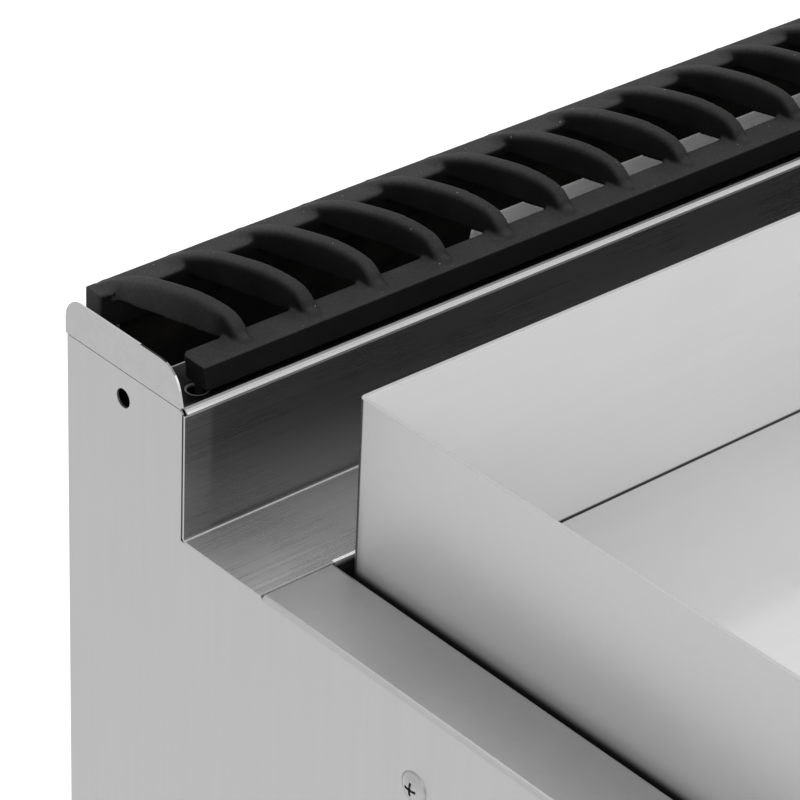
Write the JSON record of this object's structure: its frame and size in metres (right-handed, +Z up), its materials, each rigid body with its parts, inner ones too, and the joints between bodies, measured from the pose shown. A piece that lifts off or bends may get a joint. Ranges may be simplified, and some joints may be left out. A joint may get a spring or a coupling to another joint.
{
  "type": "outdoor gas griddle station",
  "caption": "Free-standing gas griddle on a closed cabinet: steel cooking plate in a splash guard, cast flue grille behind, knobs, grease drawer, doors and adjustable feet.",
  "frame": {"origin": "middle of the outline, at floor level", "axes": "+Z up, -Y towards the user at the front with the doors and knobs, +X to the user's right"},
  "size_m": [0.8052, 0.7412, 0.9424],
  "materials": {
    "satin_steel": "satin stainless sheet, fine brushed grain",
    "inner_steel": "plain mill-finish sheet",
    "flue_steel": "darker reflective stainless sheet",
    "heat_steel": "heat-darkened enamelled steel",
    "plate_steel": "ground and polished steel plate",
    "bright_steel": "pale satin stainless",
    "spring_steel": "bright spring wire",
    "cast_iron": "matt black enamelled casting",
    "brass": "plain machined brass",
    "copper": "drawn copper tube",
    "black_plastic": "matt black moulding",
    "lead_rubber": "silicone lead cover",
    "ceramic": "glazed off-white ceramic"
  },
  "bodies": {
    "station": {"left_side_panel": "satin_steel", "right_side_panel": "satin_steel", "base_panel": "inner_steel", "back_panel": "inner_steel", "rear_cover": "satin_steel", "flue_top": "flue_steel", "front_worktop": "satin_steel", "control_panel": "satin_steel", "heat_shield": "inner_steel", "plate_bearers": "inner_steel", "firebox": "heat_steel", "griddle_plate": "plate_steel", "splash_guard": "bright_steel", "grease_trough": "bright_steel", "flue_duct": "flue_steel", "flue_deflector": "flue_steel", "left_burner": "heat_steel", "right_burner": "heat_steel", "burner_rails": "inner_steel", "injectors": "brass", "supply_tubes": "copper", "left_gas_valve": "brass", "right_gas_valve": "brass", "gas_manifold": "brass", "inlet_fitting": "brass", "left_valve_spring": "spring_steel", "right_valve_spring": "spring_steel", "knob_bezels": "bright_steel", "igniter_body": "black_plastic", "igniter_nut": "bright_steel", "igniter_spring": "spring_steel", "electrodes": "ceramic", "ignition_leads": "lead_rubber", "thermocouples": "copper", "drawer_runners": "inner_steel", "hinge_brackets": "inner_steel", "door_catches": "black_plastic", "leg_sockets": "inner_steel", "side_screws": "bright_steel"},
    "grille": {"flue_grille": "cast_iron"},
    "left_push": {"left_spring_cup": "brass"},
    "right_push": {"right_spring_cup": "brass"},
    "left_control": {"left_spindle": "bright_steel", "left_knob": "black_plastic"},
    "right_control": {"right_spindle": "bright_steel", "right_knob": "black_plastic"},
    "igniter_cap": {"igniter_button": "black_plastic"},
    "drawer": {"grease_drawer": "bright_steel", "drawer_handle": "bright_steel"},
    "left_leaf": {"left_door": "satin_steel", "left_door_handle": "bright_steel", "left_hinge_pins": "bright_steel"},
    "right_leaf": {"right_door": "satin_steel", "right_door_handle": "bright_steel", "right_hinge_pins": "bright_steel"},
    "front_left_leg": {"front_left_foot": "bright_steel"},
    "front_right_leg": {"front_right_foot": "bright_steel"},
    "rear_left_leg": {"rear_left_foot": "bright_steel"},
    "rear_right_leg": {"rear_right_foot": "bright_steel"}
  },
  "joints": [
    {"name": "grille_lift", "type": "slide", "parent": "station", "child": "grille", "axis": [0, 0, 1], "range_m": [0, 0.06]},
    {"name": "left_knob_push", "type": "slide", "parent": "station", "child": "left_push", "axis": [0, 1, 0], "range_m": [0, 0.003], "stiffness_N_per_m": 1500, "springref_m": -0.002, "deforming": ["left_valve_spring"]},
    {"name": "left_knob_turn", "type": "hinge", "parent": "left_push", "child": "left_control", "pos_m": [-0.25, -0.3506, 0.778], "axis": [0, -1, 0], "range_deg": [0, 210]},
    {"name": "right_knob_push", "type": "slide", "parent": "station", "child": "right_push", "axis": [0, 1, 0], "range_m": [0, 0.003], "stiffness_N_per_m": 1500, "springref_m": -0.002, "deforming": ["right_valve_spring"]},
    {"name": "right_knob_turn", "type": "hinge", "parent": "right_push", "child": "right_control", "pos_m": [0.25, -0.3506, 0.778], "axis": [0, -1, 0], "range_deg": [0, 210]},
    {"name": "igniter_push", "type": "slide", "parent": "station", "child": "igniter_cap", "axis": [0, 1, 0], "range_m": [0, 0.005], "stiffness_N_per_m": 900, "springref_m": -0.002, "deforming": ["igniter_spring"]},
    {"name": "drawer_slide", "type": "slide", "parent": "station", "child": "drawer", "axis": [0, -1, 0], "range_m": [0, 0.37]},
    {"name": "left_door_hinge", "type": "hinge", "parent": "station", "child": "left_leaf", "pos_m": [-0.391, -0.3216, 0.1557], "axis": [0, 0, -1], "range_deg": [0, 105]},
    {"name": "right_door_hinge", "type": "hinge", "parent": "station", "child": "right_leaf", "pos_m": [0.391, -0.3216, 0.1557], "axis": [0, 0, 1], "range_deg": [0, 105]},
    {"name": "front_left_foot_height", "type": "slide", "parent": "station", "child": "front_left_leg", "axis": [0, 0, 1], "range_m": [-0.025, 0.025]},
    {"name": "front_right_foot_height", "type": "slide", "parent": "station", "child": "front_right_leg", "axis": [0, 0, 1], "range_m": [-0.025, 0.025]},
    {"name": "rear_left_foot_height", "type": "slide", "parent": "station", "child": "rear_left_leg", "axis": [0, 0, 1], "range_m": [-0.025, 0.025]},
    {"name": "rear_right_foot_height", "type": "slide", "parent": "station", "child": "rear_right_leg", "axis": [0, 0, 1], "range_m": [-0.025, 0.025]}
  ]
}
